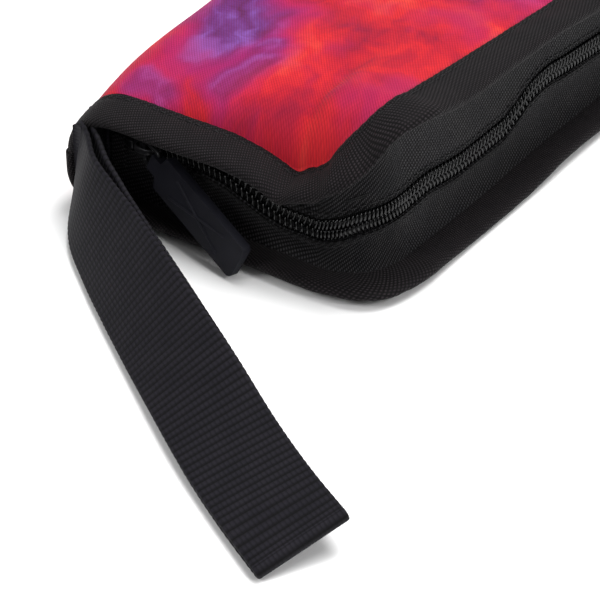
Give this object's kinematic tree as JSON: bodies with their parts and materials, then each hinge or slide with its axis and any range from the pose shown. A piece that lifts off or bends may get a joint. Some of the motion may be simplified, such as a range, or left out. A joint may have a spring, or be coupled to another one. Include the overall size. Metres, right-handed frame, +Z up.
{
  "type": "drum stick bag",
  "caption": "Slim padded drum stick bag that opens like a book, with a zip round three sides, bound seams and a wrist loop.",
  "frame": {"origin": "centre of the closed bag's flat underside, midway along and across it", "axes": "+X across the bag from the spine to the zip side, +Y along the bag away from the wrist loop's end, +Z up"},
  "size_m": [0.1487, 0.5489, 0.046],
  "materials": {
    "printed_cloth": "woven polyester print, red and violet",
    "foam": "soft closed foam",
    "lining_cloth": "plain woven nylon",
    "binding_tape": "ribbed woven tape",
    "gusset_cloth": "woven nylon",
    "zip_tape": "knitted tape",
    "zip_coil": "nylon coil",
    "mesh_cloth": "open mesh",
    "webbing": "ribbed woven webbing",
    "thread": "dense stitching",
    "slider_metal": "black enamel, worn at the edges",
    "link_metal": "black enamel",
    "tab_rubber": "soft moulded rubber"
  },
  "bodies": {
    "bottom_half": {"bottom_cover": "printed_cloth", "bottom_foam": "foam", "bottom_lining": "lining_cloth", "lower_binding": "binding_tape", "lower_gusset": "gusset_cloth", "lower_zip_tape": "zip_tape", "lower_zip_coil": "zip_coil", "zip_stop_front": "zip_coil", "zip_stop_rear": "zip_coil", "zip_end_tab_front": "zip_tape", "zip_end_tab_rear": "zip_tape", "strap_tail": "webbing", "strap_bartack": "thread", "stick_pocket": "lining_cloth", "stick_pocket_hem": "lining_cloth"},
    "spine": {"spine_panel": "printed_cloth", "spine_foam": "foam", "spine_lining": "lining_cloth", "spine_binding_front": "binding_tape", "spine_binding_rear": "binding_tape"},
    "top_half": {"top_cover": "printed_cloth", "top_foam": "foam", "top_lining": "lining_cloth", "upper_binding": "binding_tape", "upper_gusset": "gusset_cloth", "upper_zip_tape": "zip_tape", "upper_zip_coil": "zip_coil", "mesh_pocket": "mesh_cloth", "mesh_pocket_hem": "mesh_cloth"},
    "slider": {"slider_body": "slider_metal", "slider_bridge": "slider_metal"},
    "link": {"pull_link": "link_metal"},
    "tab": {"pull_tab": "tab_rubber"},
    "loop": {"wrist_loop": "webbing"}
  },
  "joints": [
    {"name": "spine_fold", "type": "hinge", "parent": "bottom_half", "child": "spine", "pos_m": [-0.0515, 0, 0.008], "axis": [0, -1, 0], "range_deg": [0, 90]},
    {"name": "cover_open", "type": "hinge", "parent": "spine", "child": "top_half", "pos_m": [-0.0515, 0, 0.038], "axis": [0, -1, 0], "range_deg": [0, 90]},
    {"name": "slider_run", "type": "slide", "parent": "bottom_half", "child": "slider", "axis": [1, 0, 0], "range_m": [0, 0.025]},
    {"name": "link_swing", "type": "hinge", "parent": "slider", "child": "link", "pos_m": [-0.0295, -0.217, 0.021], "axis": [0, 0, 1], "range_deg": [-25, 0]},
    {"name": "tab_lift", "type": "hinge", "parent": "link", "child": "tab", "pos_m": [-0.02368, -0.21984, 0.02043], "axis": [-0.4154, -0.0754, -0.9065], "range_deg": [0, 20]},
    {"name": "loop_swing", "type": "hinge", "parent": "bottom_half", "child": "loop", "pos_m": [-0.0468, -0.226, 0.0175], "axis": [0, 0, 1], "range_deg": [-85, 0]}
  ],
  "couplings": [
    {"joint": "spine_fold", "follows": "cover_open", "ratio": 1}
  ]
}
